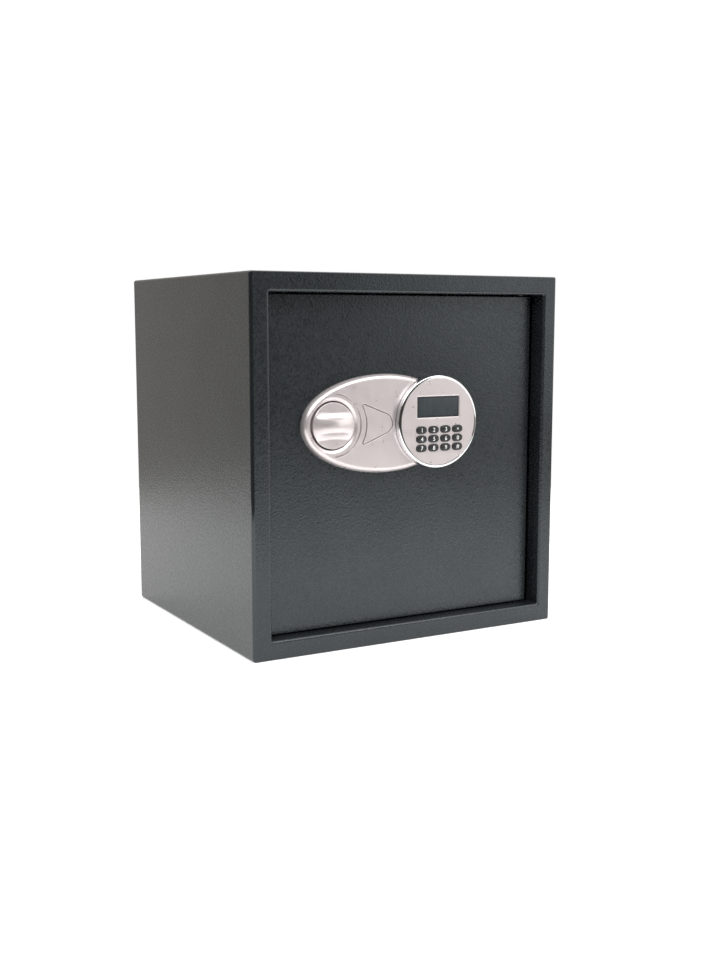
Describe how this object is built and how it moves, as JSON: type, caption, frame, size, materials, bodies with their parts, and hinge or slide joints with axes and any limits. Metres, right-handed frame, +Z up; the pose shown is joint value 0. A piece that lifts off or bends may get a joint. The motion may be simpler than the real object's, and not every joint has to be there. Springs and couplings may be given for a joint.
{
  "type": "electronic safe",
  "caption": "Cube-shaped steel home safe with a recessed hinged door, round keypad, turning knob, sliding bolts and a shelf.",
  "frame": {"origin": "on the floor, under the middle of the cabinet's box", "axes": "+Z up, -Y out of the door's face, +X to the right as the door is seen from in front"},
  "size_m": [0.384, 0.345, 0.4],
  "materials": {
    "powder_coat": "fine textured charcoal powder coat, satin",
    "inner_coat": "smooth black powder coat",
    "satin_silver": "satin silver paint on moulded plastic",
    "chrome_band": "bright chrome plating",
    "screen": "dark grey unlit display window",
    "key_black": "black moulded key with a white printed character",
    "bolt_steel": "turned bright steel",
    "plain_steel": "plain steel",
    "zinc_plate": "zinc-plated pressed steel",
    "lock_brass": "machined brass",
    "copper_winding": "varnished copper wire winding",
    "circuit_board": "green solder resist",
    "battery_sleeve": "black and copper printed cell sleeve",
    "black_plastic": "black moulded plastic",
    "red_plastic": "red moulded plastic",
    "rubber": "black rubber",
    "carpet": "dark grey short-pile needled carpet"
  },
  "bodies": {
    "cabinet": {"body_shell": "powder_coat", "front_frame": "powder_coat", "back_panel": "powder_coat", "hinge_bracket_top": "plain_steel", "hinge_bracket_bottom": "plain_steel", "shelf": "powder_coat", "shelf_rail_left": "powder_coat", "shelf_rail_right": "powder_coat", "floor_mat": "carpet", "floor_plug_left": "rubber", "floor_plug_right": "rubber", "back_plug_left": "rubber", "back_plug_right": "rubber"},
    "door": {"door_plate": "powder_coat", "hinge_pin_top": "plain_steel", "hinge_pin_bottom": "plain_steel", "fascia": "satin_silver", "keypad_housing": "chrome_band", "keypad_face": "satin_silver", "display_window": "screen", "keypad_board": "circuit_board", "wiring_lead": "black_plastic", "bolt_guide": "zinc_plate", "mechanism_cover": "inner_coat", "cover_screw_1": "zinc_plate", "cover_screw_2": "zinc_plate", "cover_screw_3": "zinc_plate", "cover_screw_4": "zinc_plate", "battery_tray": "black_plastic", "battery_1": "battery_sleeve", "battery_2": "battery_sleeve", "battery_3": "battery_sleeve", "battery_4": "battery_sleeve", "solenoid_frame": "zinc_plate", "solenoid_coil": "copper_winding", "override_lock_body": "lock_brass"},
    "knob": {"knob": "satin_silver", "knob_spindle": "plain_steel", "drive_cam": "zinc_plate"},
    "boltwork": {"bolt_carriage": "zinc_plate", "lower_bolt": "bolt_steel", "upper_bolt": "bolt_steel"},
    "plunger": {"solenoid_plunger": "plain_steel", "plunger_spring": "plain_steel"},
    "override_plug": {"override_plug": "lock_brass"},
    "key_cover": {"override_key_cover": "satin_silver"},
    "reset_button": {"reset_button": "red_plastic"},
    "battery_cover": {"battery_cover": "black_plastic"},
    "key_1": {"key_1": "key_black"},
    "key_2": {"key_2": "key_black"},
    "key_3": {"key_3": "key_black"},
    "key_star": {"key_star": "key_black"},
    "key_4": {"key_4": "key_black"},
    "key_5": {"key_5": "key_black"},
    "key_6": {"key_6": "key_black"},
    "key_0": {"key_0": "key_black"},
    "key_7": {"key_7": "key_black"},
    "key_8": {"key_8": "key_black"},
    "key_9": {"key_9": "key_black"},
    "key_hash": {"key_hash": "key_black"}
  },
  "joints": [
    {"name": "door_hinge", "type": "hinge", "parent": "cabinet", "child": "door", "pos_m": [0.16, -0.146, 0.2], "axis": [0, 0, 1], "range_deg": [0, 95]},
    {"name": "knob_turn", "type": "hinge", "parent": "door", "child": "knob", "pos_m": [-0.0935, -0.16, 0.241], "axis": [0, -1, 0], "range_deg": [0, 90]},
    {"name": "bolt_throw", "type": "slide", "parent": "door", "child": "boltwork", "axis": [-1, 0, 0], "range_m": [0, 0.017]},
    {"name": "plunger_drop", "type": "slide", "parent": "door", "child": "plunger", "axis": [0, 0, -1], "range_m": [0, 0.0081], "deforming": ["plunger_spring"]},
    {"name": "override_turn", "type": "hinge", "parent": "door", "child": "override_plug", "pos_m": [-0.042, -0.14, 0.241], "axis": [0, 1, 0], "range_deg": [0, 90]},
    {"name": "key_cover_pull", "type": "slide", "parent": "door", "child": "key_cover", "axis": [0, -1, 0], "range_m": [0, 0.02]},
    {"name": "battery_cover_slide", "type": "slide", "parent": "door", "child": "battery_cover", "axis": [1, 0, 0], "range_m": [0, 0.028]},
    {"name": "reset_press", "type": "slide", "parent": "door", "child": "reset_button", "axis": [0, -1, 0], "range_m": [0, 0.0015], "stiffness_N_per_m": 400},
    {"name": "key_1_press", "type": "slide", "parent": "door", "child": "key_1", "axis": [0, 1, 0], "range_m": [0, 0.0012], "stiffness_N_per_m": 800},
    {"name": "key_2_press", "type": "slide", "parent": "door", "child": "key_2", "axis": [0, 1, 0], "range_m": [0, 0.0012], "stiffness_N_per_m": 800},
    {"name": "key_3_press", "type": "slide", "parent": "door", "child": "key_3", "axis": [0, 1, 0], "range_m": [0, 0.0012], "stiffness_N_per_m": 800},
    {"name": "key_star_press", "type": "slide", "parent": "door", "child": "key_star", "axis": [0, 1, 0], "range_m": [0, 0.0012], "stiffness_N_per_m": 800},
    {"name": "key_4_press", "type": "slide", "parent": "door", "child": "key_4", "axis": [0, 1, 0], "range_m": [0, 0.0012], "stiffness_N_per_m": 800},
    {"name": "key_5_press", "type": "slide", "parent": "door", "child": "key_5", "axis": [0, 1, 0], "range_m": [0, 0.0012], "stiffness_N_per_m": 800},
    {"name": "key_6_press", "type": "slide", "parent": "door", "child": "key_6", "axis": [0, 1, 0], "range_m": [0, 0.0012], "stiffness_N_per_m": 800},
    {"name": "key_0_press", "type": "slide", "parent": "door", "child": "key_0", "axis": [0, 1, 0], "range_m": [0, 0.0012], "stiffness_N_per_m": 800},
    {"name": "key_7_press", "type": "slide", "parent": "door", "child": "key_7", "axis": [0, 1, 0], "range_m": [0, 0.0012], "stiffness_N_per_m": 800},
    {"name": "key_8_press", "type": "slide", "parent": "door", "child": "key_8", "axis": [0, 1, 0], "range_m": [0, 0.0012], "stiffness_N_per_m": 800},
    {"name": "key_9_press", "type": "slide", "parent": "door", "child": "key_9", "axis": [0, 1, 0], "range_m": [0, 0.0012], "stiffness_N_per_m": 800},
    {"name": "key_hash_press", "type": "slide", "parent": "door", "child": "key_hash", "axis": [0, 1, 0], "range_m": [0, 0.0012], "stiffness_N_per_m": 800}
  ],
  "couplings": [
    {"joint": "knob_turn", "follows": "bolt_throw", "rad_per_m": 92.39},
    {"joint": "plunger_drop", "follows": "bolt_throw", "ratio": 0.4706}
  ]
}
